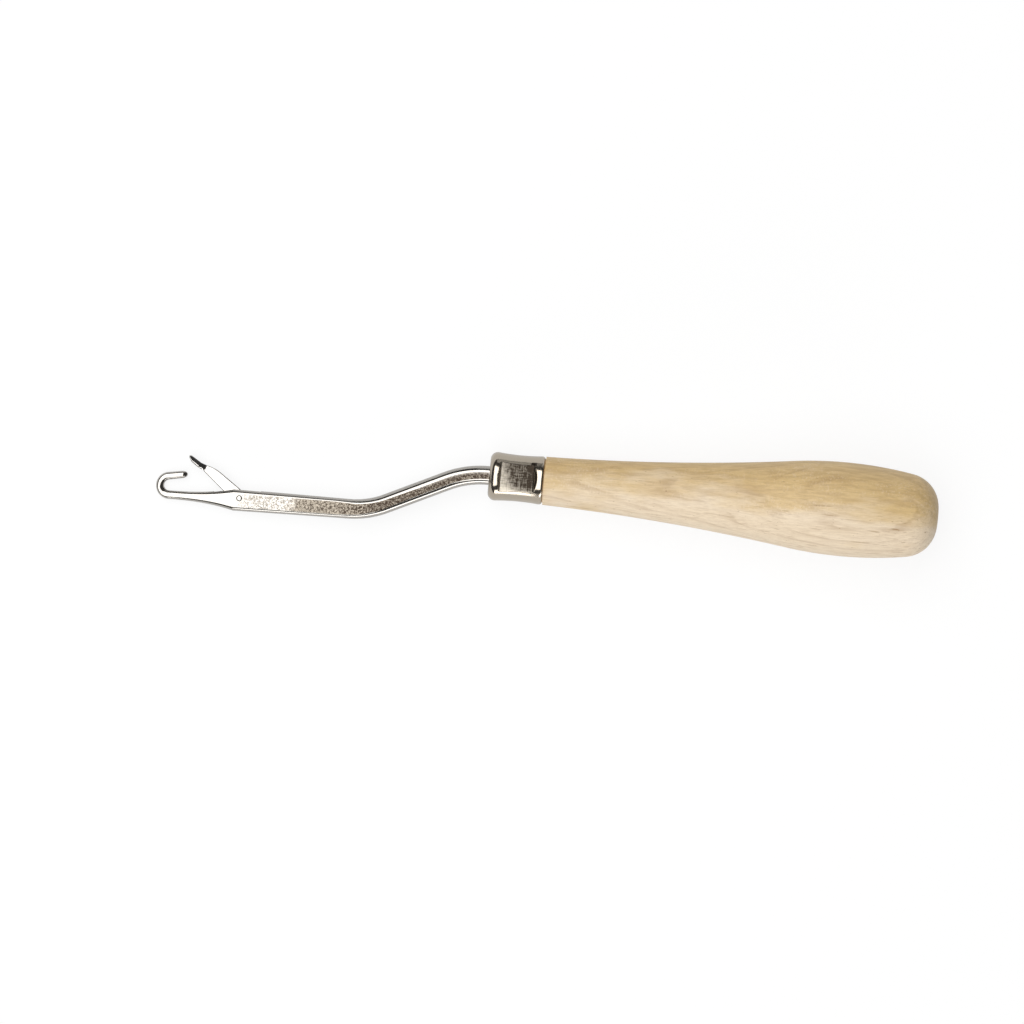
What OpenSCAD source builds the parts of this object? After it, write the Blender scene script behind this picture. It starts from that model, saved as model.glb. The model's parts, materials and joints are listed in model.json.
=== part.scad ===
// Latch hook tool, lying flat on a table.
// A turned wooden handle carries a pressed metal ferrule. The bent steel shank is
// driven into the handle through the ferrule, and its flattened blade ends in a hook.
// A latch swings on a pin in a slot of the blade and closes over the hook's tip.
// While it is drawn, X runs along the handle from the ferrule's joint to the butt,
// Y is the side that the hook opens to, and Z is square to the plane of the hook.

/* [Handle] */
// Length of the wood from its shoulder to the butt
handle_len = 83.4; // [76:0.2:100]
// Largest diameter of the handle
bulb_d = 19.85; // [18:0.05:24]
// Distance from the thickest place to the butt
bulb_back = 20; // [17:0.2:24]
// Radius of the long curve over the thickest place
crown_r = 85.4; // [70:0.2:110]
// Slope in degrees at which the wood leaves the ferrule
neck_slope = 1.2; // [0:0.1:3]
// Radius of the rounded edge round the butt
butt_edge_r = 7.05; // [5:0.05:8]
// Radius of the shallow dome on the butt
butt_dome_r = 37.7; // [25:0.1:60]

/* [Ferrule] */
// Length of the ferrule from its front face to the joint with the wood
ferrule_len = 11.66; // [10:0.02:14]
// Diameter of the ferrule at its waist
waist_d = 9.78; // [9:0.02:12]
// Distance from the joint to the waist
waist_x = 5.2; // [4.4:0.1:6]
// Radius of the long hollow curve along the ferrule
waist_r = 48; // [36:1:80]
// Radius of the rounded front shoulder
shoulder_r = 1.5; // [1:0.05:1.8]
// Radius of the rolled rear rim
rim_r = 0.45; // [0.1:0.05:0.5]
// Thickness of the ferrule's sheet
sheet_t = 0.5; // [0.35:0.05:0.7]
// Distance across the two pressed flats
flats_across = 8; // [7.4:0.1:8.8]
// Length of a pressed flat
flat_len = 6.8; // [5.5:0.05:7.6]
// Distance from the joint to the pressed flat
flat_x = 2.6; // [2:0.05:3]
// Length of the steep step at a flat's front end
front_step = 0.4; // [0.35:0.05:0.8]
// Length of the gentle step at a flat's rear end
rear_step = 0.9; // [0.6:0.05:1.1]
// Gap between the ferrule and the wooden shoulder
seam = 0.12; // [0.05:0.01:0.2]
// How far the ferrule's rim stands proud of the wood
rim_proud = 0.06; // [0:0.02:0.2]
// Gap between the wooden tenon and the inside of the ferrule
tenon_fit = 0.05; // [0.02:0.01:0.1]

/* [Shank] */
// Diameter of the round tang inside the handle
tang_d = 3.9; // [3.4:0.1:4.4]
// Length of the tang inside the wood
tang_len = 32; // [20:1:45]
// Length of the tang's pointed end
tang_point = 2.5; // [1:0.1:4]
// Diameter of the tang's blunt tip
tang_tip_d = 1.3; // [0.6:0.1:2]
// Gap round the tang in its bore
tang_fit = 0.05; // [0.02:0.01:0.1]
// Gap round the shank in the ferrule's mouth
mouth_fit = 0.1; // [0.05:0.01:0.2]
// Width of the shank in the plane of the hook
shank_w = 4; // [3.4:0.05:4.6]
// Thickness of the shank between its two flats
shank_t = 3.5; // [2.8:0.05:3.8]
// Width of the flat band along the shank
shank_flat = 1.1; // [0.8:0.05:2]
// Straight length between the ferrule and the first bend
lead_len = 0.1; // [0.1:0.1:3]
// Angle of the first bend in degrees
bend_1 = 25.85; // [15:0.05:35]
// Radius of the first bend
bend_1_r = 20; // [15:0.5:30]
// Straight length between the two bends
slope_len = 13.6; // [10:0.1:20]
// Angle of the second bend in degrees
bend_2 = 24.9; // [15:0.05:35]
// Radius of the second bend
bend_2_r = 18.5; // [14:0.5:30]

/* [Blade and hook] */
// Length of the blade from the second bend to the hook's curve
blade_len = 38.1; // [32:0.1:50]
// Width of the blade behind the second bend
blade_root_w = 4.16; // [3.8:0.02:4.6]
// Width of the blade where its taper starts
blade_w = 4.6; // [4.2:0.05:5.4]
// Thickness of the blade
blade_t = 2.6; // [2.4:0.05:3]
// Width of the flat band along the blade
blade_flat = 2.3; // [1.6:0.05:3.4]
// Length of the taper from the blade to the hook's wire
taper_len = 13.7; // [10:0.1:14]
// Power of the hollow curve of that taper
taper_power = 2.45; // [1.5:0.05:3]
// Width of the wire where the hook starts
wire_w = 1.8; // [1.5:0.05:2]
// Thickness of the wire where the hook starts
wire_t = 1.9; // [1.6:0.05:2.2]
// Width of the flat band along the wire
wire_flat = 0.3; // [0.2:0.05:0.8]
// Radius of the hook to the middle of the wire
hook_r = 2; // [1.8:0.05:2.3]
// Angle between the hook's lip and the handle in degrees
lip_angle = 10.5; // [4:0.5:15]
// Straight length of the lip to its tip
lip_len = 4.05; // [3.4:0.05:4.4]
// Width of the wire at the lip
lip_w = 1.48; // [1.2:0.02:1.6]
// Thickness of the wire at the lip
lip_t = 1.5; // [1.2:0.02:1.6]
// Length of the rounded point
nose_len = 1.15; // [0.8:0.05:1.4]

/* [Latch] */
// Distance from the pin to the start of the hook's curve
pin_back = 14.9; // [14.6:0.1:15.2]
// Height of the pin above the middle of the blade
pin_up = 0.4; // [0.2:0.05:0.5]
// Diameter of the pin
pin_d = 1; // [0.8:0.05:1.2]
// How far the pin's heads stand proud of the blade
pin_proud = 0.06; // [0.02:0.01:0.15]
// Bevel round the pin's heads
pin_bevel = 0.12; // [0.05:0.01:0.2]
// Diameter of the dimple round the pin
dimple_d = 1.25; // [1.1:0.05:1.9]
// Depth of the dimple round the pin
dimple_depth = 0.2; // [0.1:0.02:0.3]
// Gap round the pin in the latch
pin_play = 0.05; // [0.02:0.01:0.09]
// Thickness of the latch
latch_t = 0.9; // [0.7:0.05:1]
// Gap on each side of the latch in the slot
slot_play = 0.1; // [0.05:0.01:0.15]
// Radius of the saw that cuts the slot
slot_r = 5.6; // [5.2:0.05:6]
// Depth of the slot below the pin
slot_below = 1.6; // [1.5:0.05:1.8]
// How far the slot's middle lies ahead of the pin
slot_ahead = 0.75; // [0.5:0.05:1]
// Radius of the latch's eye
eye_r = 1.4; // [1.2:0.05:1.45]
// How far the eye is raised towards the latch's back
eye_up = 0.12; // [0:0.02:0.2]
// Length of the latch's flat body from the pin to the spoon
body_len = 9.5; // [9:0.05:9.8]
// Height of the body's back above the pin
body_back = 1.6; // [1.5:0.05:1.7]
// Height of the body's back where the spoon starts
root_back = 0.88; // [0.8:0.02:1]
// Depth of the body's belly below the pin where the spoon starts
root_belly = 0.46; // [0.3:0.02:0.6]
// Radius of the curve down the back to the spoon
back_r = 8; // [6:0.5:12]
// Length of the latch from the pin to the spoon's tip
latch_len = 13.85; // [13.4:0.05:14]
// Width of the spoon
spoon_w = 2.5; // [2.3:0.05:2.8]
// Height of the spoon's back above the pin
spoon_high = 0.72; // [0.6:0.02:0.8]
// Depth of the spoon's rim below the pin
spoon_low = -0.52; // [-0.6:0.02:-0.4]
// Thickness of the spoon's side walls
spoon_wall = 0.32; // [0.2:0.02:0.4]
// Thickness of the spoon's back
spoon_back_t = 0.36; // [0.25:0.02:0.45]
// Angle between the resting latch and the handle in degrees
latch_angle = 34.7; // [25:0.5:90]

/* [Hidden] */

wood = [0.84, 0.75, 0.61];
nickel = [0.72, 0.69, 0.65];
steel = [0.78, 0.77, 0.76];

// Sides of a turned surface
turn_fn = 96;
// Sides of a pin or a bore
bore_fn = 48;
// Steps of a tight arc and of a long one
tight_steps = 12;
long_steps = 24;
// Overlap of pieces of one solid
lap = 0.5;
// Overshoot of a cutter past the face that it opens
over = 1;

function arc(centre, r, a0, a1, steps) =
    [for (i = [0:steps]) centre + r * unit(a0 + (a1 - a0) * i / steps)];
function unit(a) = [cos(a), sin(a)];
function bearing(from, to) = atan2(to.y - from.y, to.x - from.x);
// Rises gently from 0 to 1 while t does
function smooth(t) = t <= 0 ? 0 : t >= 1 ? 1 : (1 - cos(180 * t)) / 2;
function spread(from, to, steps) = [for (i = [0:steps - 1]) from + (to - from) * i / steps];

// Turns a profile of [distance along X, radius] points round the X axis
module turned(profile) {
    rotate([0, 90, 0])
        rotate_extrude($fn = turn_fn)
            polygon([for (p = profile) [p.y, p.x]]);
}

// The ferrule's side is one long hollow arc, with a shoulder arc tangent to it
waist_c = [-waist_x, waist_d / 2 + waist_r];
shoulder_cx = shoulder_r - ferrule_len;
shoulder_drop = sqrt(pow(waist_r + shoulder_r, 2) - pow(shoulder_cx + waist_x, 2));
shoulder_c = [shoulder_cx, waist_c.y - shoulder_drop];
shoulder_a = bearing(shoulder_c, waist_c);

// Radius of the ferrule's side at a distance x from the joint
function ferrule_radius(x) = waist_c.y - sqrt(pow(waist_r, 2) - pow(x - waist_c.x, 2));

// Profile of the ferrule with its skin taken in by inset, ending at rear in a round edge
function ferrule_profile(inset, rear, edge) = let (
        last_x = rear - edge,
        last_a = asin((last_x - waist_c.x) / (waist_r + inset)),
        edge_at = [last_x, ferrule_radius(last_x) - inset - edge])
    concat(
        [[shoulder_c.x - shoulder_r + inset, 0]],
        arc(shoulder_c, shoulder_r - inset, 180, shoulder_a, tight_steps),
        arc(waist_c, waist_r + inset, shoulder_a - 180, last_a - 90, long_steps),
        edge == 0 ? [] : arc(edge_at, edge, 80, 0, tight_steps / 2),
        [[rear, 0]]);

// Part of its inset by which an inner flat outruns the outer one at each end
flat_share = 0.6;
// Section of the tool that presses one flat, with its floor lowered by inset
function press_section(inset) = let (
        floor_z = flats_across / 2 - inset,
        rise = waist_d / 2 + over - floor_z,
        x1 = inset * flat_share - flat_x,
        x0 = -inset * flat_share - flat_x - flat_len,
        step = [for (t = [0:1 / tight_steps:1]) [t, smooth(t) * rise]])
    concat(
        [for (p = step) [x1 + rear_step * p.x, floor_z + p.y]],
        [for (i = [tight_steps:-1:0]) [x0 - front_step * step[i].x, floor_z + step[i].y]]);

// The ferrule's outer form, its cavity or the wooden tenon, by how far it is taken in
module ferrule_form(inset, rear, edge = 0) {
    difference() {
        turned(ferrule_profile(inset, rear, edge));
        for (side = [0, 180])
            rotate([90 + side, 0, 0])
                linear_extrude(height = 2 * waist_d, center = true)
                    polygon(press_section(inset));
    }
}

// The wood runs from its shoulder in a hollow neck arc that is tangent to the crown
bulb_x = handle_len - bulb_back;
joint_r = ferrule_radius(-seam) - rim_proud;
crown_c = [bulb_x, bulb_d / 2 - crown_r];
neck_dir = unit(90 + neck_slope);
neck_from = [0, joint_r] - crown_c;
neck_r = (neck_from * neck_from - crown_r * crown_r) / 2 / (crown_r - neck_dir * neck_from);
neck_c = [0, joint_r] + neck_r * neck_dir;
crown_start = bearing(crown_c, neck_c);

// The butt's edge is an arc tangent to the crown and to the dome
dome_c = [handle_len - butt_dome_r, 0];
edge_ra = crown_r - butt_edge_r;
edge_rb = butt_dome_r - butt_edge_r;
edge_span = norm(dome_c - crown_c);
edge_in = (edge_ra * edge_ra - edge_rb * edge_rb + edge_span * edge_span) / 2 / edge_span;
edge_a = bearing(crown_c, dome_c) - acos(edge_in / edge_ra);
edge_c = crown_c + edge_ra * unit(edge_a);
dome_a = bearing(dome_c, edge_c);

handle_profile = concat(
    [[0, 0]],
    arc(neck_c, neck_r, neck_slope - 90, crown_start - 180, long_steps),
    arc(crown_c, crown_r, crown_start, edge_a, long_steps),
    arc(edge_c, butt_edge_r, edge_a, dome_a, tight_steps),
    arc(dome_c, butt_dome_r, dome_a, 0, tight_steps / 2));

blade_angle = bend_1 - bend_2;
hook_turn = 180 + blade_angle - lip_angle;

// The shank's middle line is a run of straights and bends: length and turn in degrees
runs = [
    [ferrule_len + lead_len, 0],
    [bend_1_r * bend_1 * PI / 180, bend_1],
    [slope_len, 0],
    [bend_2_r * bend_2 * PI / 180, -bend_2],
    [blade_len, 0],
    [hook_r * hook_turn * PI / 180, -hook_turn],
    [lip_len, 0]
];
// A place on the middle line is [x, y, heading], and each run moves it on
function moved(p, len, turn) = turn == 0
    ? [p.x + len * cos(p.z), p.y + len * sin(p.z), p.z]
    : let (r = len / turn * 180 / PI)
        [p.x + r * (sin(p.z + turn) - sin(p.z)), p.y + r * (cos(p.z) - cos(p.z + turn)), p.z + turn];
function run_start(i) = i == 0 ? [0, 0, 180] : moved(run_start(i - 1), runs[i - 1][0], runs[i - 1][1]);
function mark(i) = i == 0 ? 0 : mark(i - 1) + runs[i - 1][0];
function run_at(s, i = 0) = i == len(runs) - 1 || s <= mark(i + 1) ? i : run_at(s, i + 1);
function place(s) = let (i = run_at(s), part = (s - mark(i)) / runs[i][0])
    moved(run_start(i), runs[i][0] * part, runs[i][1] * part);

s_mouth = ferrule_len - sheet_t;
s_slope = mark(3);
s_blade = mark(4);
s_hook = mark(5);
s_tip = mark(7);
s_taper = s_hook - taper_len;
s_pin = s_hook - pin_back;
s_nose = s_tip - nose_len;
// Length over which a flat band or a thickness changes
ease_len = 3;

// How much of the full section is left in the rounded point
function point(s) = s <= s_nose ? 1 : sqrt(max(0, 1 - pow((s - s_nose) / nose_len, 2)));

// The hollow taper takes a size of the blade down to one of the wire
function taper(s, blade, wire) =
    wire + (blade - wire) * pow(max(0, 1 - (s - s_taper) / taper_len), taper_power);
function width(s) = point(s) * (s <= s_taper
    ? lookup(s, [[s_slope, shank_w], [s_blade, blade_root_w], [s_taper, blade_w]])
    : s <= s_hook ? taper(s, blade_w, wire_w)
    : lookup(s, [[s_hook, wire_w], [s_tip, lip_w]]));
function thickness(s) = point(s) * lookup(s, [[s_mouth, shank_w], [s_mouth + ease_len, shank_t],
    [s_slope + ease_len, shank_t], [s_blade + ease_len, blade_t], [s_taper, blade_t],
    [s_hook, wire_t], [s_tip, lip_t]]);
function flat(s) = point(s) * (s <= s_taper
    ? lookup(s, [[s_mouth, 0], [s_mouth + ease_len, shank_flat], [s_slope, shank_flat],
        [s_blade + ease_len, blade_flat]])
    : taper(s, blade_flat, wire_flat));

// Points round one section: two flats joined by sides of two quarter ellipses each
corner_steps = 5;
function section(s) = let (a = width(s) / 2, b = thickness(s) / 2, f = flat(s) / 2)
    [for (q = [0:3], i = [0:corner_steps])
        let (t = 90 * q + 90 * i / corner_steps, side = q == 0 || q == 3 ? 1 : -1)
        [side * f + (a - f) * cos(t), b * sin(t)]];

// The section stands square to the middle line, its first axis to the line's left
function ring(s) = let (p = place(s), left = unit(p.z + 90))
    [for (q = section(s)) [p.x + q.x * left.x, p.y + q.x * left.y, q.y]];

stations = concat(
    spread(s_mouth, mark(1), 3),
    spread(mark(1), mark(2), 10),
    spread(mark(2), mark(3), 3),
    spread(mark(3), s_blade, 10),
    spread(s_blade, s_blade + ease_len, 3),
    spread(s_blade + ease_len, s_taper, 6),
    spread(s_taper, s_hook, 16),
    spread(s_hook, mark(6), 24),
    spread(mark(6), s_nose, 4),
    [for (i = [0:8]) s_nose + nose_len * sin(10 * i)]);

// Skins a list of rings, each with as many points, into one closed solid
// Its two ends are fans of triangles round the ring's point number hub
module skinned(rings, hub = 0) {
    n = len(rings[0]);
    count = len(rings);
    sides = [for (k = [0:count - 2], i = [0:n - 1]) let (
            j = (i + 1) % n, a = k * n, b = a + n)
        each [[a + i, b + i, b + j], [a + i, b + j, a + j]]];
    last = (count - 1) * n;
    caps = [for (i = [1:n - 2]) let (p = (hub + i) % n, q = (hub + i + 1) % n)
        each [[hub, p, q], [last + hub, last + q, last + p]]];
    polyhedron(points = [for (r = rings) each r], faces = concat(sides, caps));
}

// The body narrows to its tip inside the spoon's root
body_tip = body_len - 0.3;

pin_place = place(s_pin);
pin_at = [pin_place.x, pin_place.y] + pin_up * unit(pin_place.z - 90);
slot_w = latch_t + 2 * slot_play;

// Moves what follows to the pin's axis
module at_pin() {
    translate([pin_at.x, pin_at.y, 0]) children();
}

// The spoon is skinned along the latch: half width, back, rim and depth of its hollow
// It starts inside the body, grows to its full width and rounds off to its tip
spoon_start = body_len - 0.9;
spoon_full = body_len + 1.9;
spoon_round = latch_len - 1.5;
hollow_start = body_len + 0.6;
hollow_full = hollow_start + 1.2;
// How far its start lies under the skin of the body
spoon_sunk = 0.04;
function between(u, from, to) = (u - from) / (to - from);
function spoon_end(u) = u <= spoon_round ? 1 : sqrt(1 - pow(between(u, spoon_round, latch_len), 2));
function spoon_half(u) = let (narrow = latch_t / 2 - spoon_sunk)
    spoon_end(u) * (narrow + (spoon_w / 2 - narrow) * smooth(between(u, body_tip, spoon_full)));
function spoon_top(u) = lookup(u, [[spoon_start, root_back - spoon_sunk], [body_len, root_back],
    [spoon_full, spoon_high], [spoon_round, spoon_high - 0.12], [latch_len, spoon_high / 2]]);
function spoon_rim(u) = lookup(u, [[spoon_start, spoon_sunk - root_belly],
    [body_len, spoon_sunk - root_belly], [spoon_full, spoon_low], [spoon_round, spoon_low],
    [latch_len, spoon_low / 5]]);
function hollow(u) = smooth(between(u, hollow_start, hollow_full))
    * smooth(between(u, latch_len, latch_len - spoon_wall * 2));

spoon_steps = 9;
function spoon_ring(u) = let (
        half = spoon_half(u),
        inner = half * (1 - spoon_wall / (spoon_w / 2)),
        rim = spoon_rim(u),
        top = spoon_top(u),
        depth = max(0, top - spoon_back_t - rim) * hollow(u))
    concat(
        [for (i = [0:spoon_steps]) let (t = 180 * i / spoon_steps)
            [u, rim + (top - rim) * sin(t), -half * cos(t)]],
        [for (i = [spoon_steps:-1:0]) let (t = 180 * i / spoon_steps)
            [u, rim + depth * sin(t), -inner * cos(t)]]);

spoon_stations = concat(
    spread(spoon_start, spoon_full, 12),
    spread(spoon_full, spoon_round, 4),
    [for (i = [0:8]) spoon_round + (latch_len - spoon_round) * sin(10 * i)]);

// Flat side of the latch: a round eye and a body with a curved back
back_turn = acos(1 - (body_back - root_back) / back_r);
back_start = body_len - back_r * sin(back_turn);
module latch_outline() {
    translate([0, eye_up]) circle(r = eye_r, $fn = bore_fn);
    polygon(concat(
        [[0, eye_up - eye_r], [0, eye_up + eye_r], [eye_r, body_back]],
        arc([back_start, body_back - back_r], back_r, 90, 90 - back_turn, tight_steps),
        [[body_tip, -root_belly]]));
}

// The tool lies with the bulb and the hook's bend on the table
s_bend = (mark(5) + mark(6)) / 2;
hook_left = place(s_bend).x;
wire_low = thickness(s_bend) / 2;
rest_span = [bulb_x - hook_left + wire_flat / 2, crown_r - bulb_d / 2 + wire_low];
tilt = asin(crown_r / norm(rest_span)) - atan2(rest_span.y, rest_span.x);
lift = wire_low * cos(tilt) - (hook_left - wire_flat / 2) * sin(tilt);

// The origin is on the table below the middle of the whole tool
x_low = (hook_left - width(s_bend) / 2) * cos(tilt);
x_high = dome_c.x * cos(tilt) + butt_dome_r;
blade_low = place(s_taper).y - blade_w / 2;
module laid() {
    translate([-(x_low + x_high) / 2, -(bulb_d / 2 + blade_low) / 2, lift])
        rotate([0, -tilt, 0])
            children();
}

module handle() {
    color(wood) laid() difference() {
        union() {
            turned(handle_profile);
            ferrule_form(sheet_t + tenon_fit, lap);
        }
        rotate([0, -90, 0])
            translate([0, 0, -tang_len - over])
                cylinder(d = tang_d + 2 * tang_fit, h = tang_len + ferrule_len + 2 * over, $fn = bore_fn);
    }
}

module ferrule() {
    color(nickel) laid() difference() {
        ferrule_form(0, -seam, rim_r);
        ferrule_form(sheet_t, over);
        rotate([0, -90, 0])
            cylinder(d = shank_w + 2 * mouth_fit, h = ferrule_len + over, $fn = bore_fn);
    }
}

module hook_shank() {
    color(steel) laid() difference() {
        union() {
            turned([[-s_mouth - lap, 0], [-s_mouth - lap, tang_d / 2],
                [tang_len - tang_point, tang_d / 2], [tang_len, tang_tip_d / 2], [tang_len, 0]]);
            skinned([for (s = stations) ring(s)]);
        }
        at_pin() {
            cylinder(d = pin_d, h = 2 * blade_t, center = true, $fn = bore_fn);
            for (side = [0, 180])
                rotate([side, 0, 0])
                    translate([0, 0, blade_t / 2 - dimple_depth])
                        cylinder(d1 = pin_d, d2 = pin_d + (dimple_d - pin_d) * 2,
                            h = dimple_depth * 2, $fn = bore_fn);
            translate([-slot_ahead, slot_r - slot_below, 0])
                cylinder(r = slot_r, h = slot_w, center = true, $fn = turn_fn);
        }
    }
}

module latch() {
    color(steel) laid() at_pin() rotate([0, 0, 180 - latch_angle]) mirror([0, 1, 0])
        difference() {
            union() {
                linear_extrude(height = latch_t, center = true) latch_outline();
                skinned([for (u = spoon_stations) spoon_ring(u)], hub = ceil(spoon_steps / 2));
            }
            cylinder(d = pin_d + 2 * pin_play, h = 2 * blade_t, center = true, $fn = bore_fn);
        }
}

module latch_pin() {
    color(nickel) laid() at_pin() for (side = [0, 180]) rotate([side, 0, 0]) {
        cylinder(d = pin_d, h = blade_t / 2 + pin_proud - pin_bevel, $fn = bore_fn);
        translate([0, 0, blade_t / 2 + pin_proud - pin_bevel])
            cylinder(d1 = pin_d, d2 = pin_d - 2 * pin_bevel, h = pin_bevel, $fn = bore_fn);
    }
}

handle();
ferrule();
hook_shank();
latch();
latch_pin();
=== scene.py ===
"""Looks of a latch hook tool: turned wooden handle, pressed ferrule, bent hook shank, latch and pin.

Each piece is modelled in the tool's own frame, where X runs along the handle from the ferrule's
joint to the butt, Y is the side that the hook opens to and Z is square to the hook's plane.
The finished piece is then laid on the table, where the CAD frame has it.
"""

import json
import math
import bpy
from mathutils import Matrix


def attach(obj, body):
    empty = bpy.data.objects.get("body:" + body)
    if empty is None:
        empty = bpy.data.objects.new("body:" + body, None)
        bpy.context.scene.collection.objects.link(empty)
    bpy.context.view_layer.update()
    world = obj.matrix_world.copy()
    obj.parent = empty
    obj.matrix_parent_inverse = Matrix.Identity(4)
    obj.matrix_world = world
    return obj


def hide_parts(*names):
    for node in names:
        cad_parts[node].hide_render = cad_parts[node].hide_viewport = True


bl_info = {
    "name": "Latch Hook Tool",
    "version": (1, 0, 0),
    "blender": (4, 5, 0),
    "location": "3D View > Sidebar > Latch Hook",
    "description": "Models and dresses a latch hook tool on its table",
    "category": "Object",
}

import bmesh
import bpy
from bpy.props import FloatProperty, FloatVectorProperty, PointerProperty
from mathutils import Euler, Matrix, Vector

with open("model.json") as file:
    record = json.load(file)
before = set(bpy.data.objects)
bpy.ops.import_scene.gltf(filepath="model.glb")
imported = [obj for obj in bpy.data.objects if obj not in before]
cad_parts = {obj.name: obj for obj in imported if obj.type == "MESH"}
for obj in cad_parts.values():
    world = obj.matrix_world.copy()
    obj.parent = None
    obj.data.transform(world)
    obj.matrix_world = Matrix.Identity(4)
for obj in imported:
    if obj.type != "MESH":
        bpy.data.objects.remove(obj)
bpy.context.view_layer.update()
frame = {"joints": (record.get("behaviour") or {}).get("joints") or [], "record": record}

MM = 0.001
FULL_TURN = 2 * math.pi

# The hinge of the latch and the pressed flats say how the tool lies on the table
HINGE = frame["joints"][0]
MOUNTS = {mount["name"]: mount for mount in frame["record"]["mounts"]}
TOOL_UP = Vector(HINGE["axis"]).normalized()
TOOL_BACK = Vector((TOOL_UP.z, 0, -TOOL_UP.x))


def size(length_mm, name, description):
    return FloatProperty(name=name, description=description, default=length_mm * MM,
                         min=0, unit="LENGTH", precision=5)


def angle(degrees, name, description):
    return FloatProperty(name=name, description=description, default=math.radians(degrees),
                         subtype="ANGLE")


def colour(red, green, blue, name, description):
    """A colour given as sRGB values of 0 to 255."""
    linear = [channel_to_linear(c / 255) for c in (red, green, blue)]
    return FloatVectorProperty(name=name, description="Colour of the " + description,
                               default=linear, size=3, min=0, max=1, subtype="COLOR")


def channel_to_linear(c):
    return c / 12.92 if c <= 0.04045 else ((c + 0.055) / 1.055) ** 2.4


class HandleSettings(bpy.types.PropertyGroup):
    length: size(83.4, "Length", "Wood from its shoulder to the butt")
    bulb_width: size(19.85, "Bulb", "Largest diameter of the handle")
    bulb_back: size(20, "Bulb to butt", "Distance from the thickest place to the butt")
    crown_radius: size(85.4, "Crown", "Radius of the long curve over the bulb")
    edge_radius: size(7.05, "Butt edge", "Radius of the rounded edge round the butt")
    dome_radius: size(37.7, "Butt dome", "Radius of the shallow dome on the butt")
    neck_slope: angle(1.2, "Neck slope", "Slope at which the wood leaves the ferrule")
    bore_width: size(4, "Bore", "Diameter of the blind bore for the tang")
    bore_depth: size(33, "Bore depth", "Depth of the bore behind the joint")
    # Pale and warm wood also serve as painted light on the -Y side and painted shade on the +Y side
    pale: colour(232, 214, 187, "Pale wood", "pale side")
    warm: colour(217, 188, 135, "Warm wood", "warm side and the broad darker zones")
    late: colour(150, 113, 69, "Late wood", "thin lines and streaks")


class FerruleSettings(bpy.types.PropertyGroup):
    length: size(11.66, "Length", "Front face to the joint with the wood")
    waist_width: size(9.78, "Waist", "Diameter at the waist")
    waist_at: size(5.2, "Waist place", "Distance from the joint to the waist")
    waist_radius: size(48, "Hollow", "Radius of the long hollow curve along the side")
    shoulder_radius: size(1.5, "Shoulder", "Radius of the rounded front shoulder")
    rim_radius: size(0.6, "Rim", "Radius of the rolled rear rim")
    rim_proud: size(0.06, "Rim height", "Height of the rim above the wood")
    seam: size(0.12, "Seam", "Gap between the ferrule and the wooden shoulder")
    sheet: size(0.5, "Sheet", "Thickness of the sheet")
    tenon_gap: size(0.05, "Tenon gap", "Gap between the tenon and the ferrule")
    across_flats: size(8, "Across flats", "Distance across the two pressed flats")
    flat_length: size(6.8, "Flat", "Length of a pressed flat")
    flat_at: size(2.6, "Flat place", "Distance from the joint to the flat")
    front_step: size(0.4, "Front step", "Length of the steep step at a flat's front end")
    rear_step: size(2.0, "Rear step", "Length of the gentle step at a flat's rear end")
    mouth_width: size(4.2, "Mouth", "Diameter of the hole for the shank")
    plate: colour(188, 178, 163, "Nickel", "bright nickel plate")
    # The brushed dark colour is mostly a painted dark reflection on the pressed flats
    brushed_dark_reflection: colour(52, 45, 38, "Brushed dark", "brushed flats' dark lines")
    brushed_pale: colour(190, 182, 168, "Brushed pale", "brushed flats' pale lines")


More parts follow.
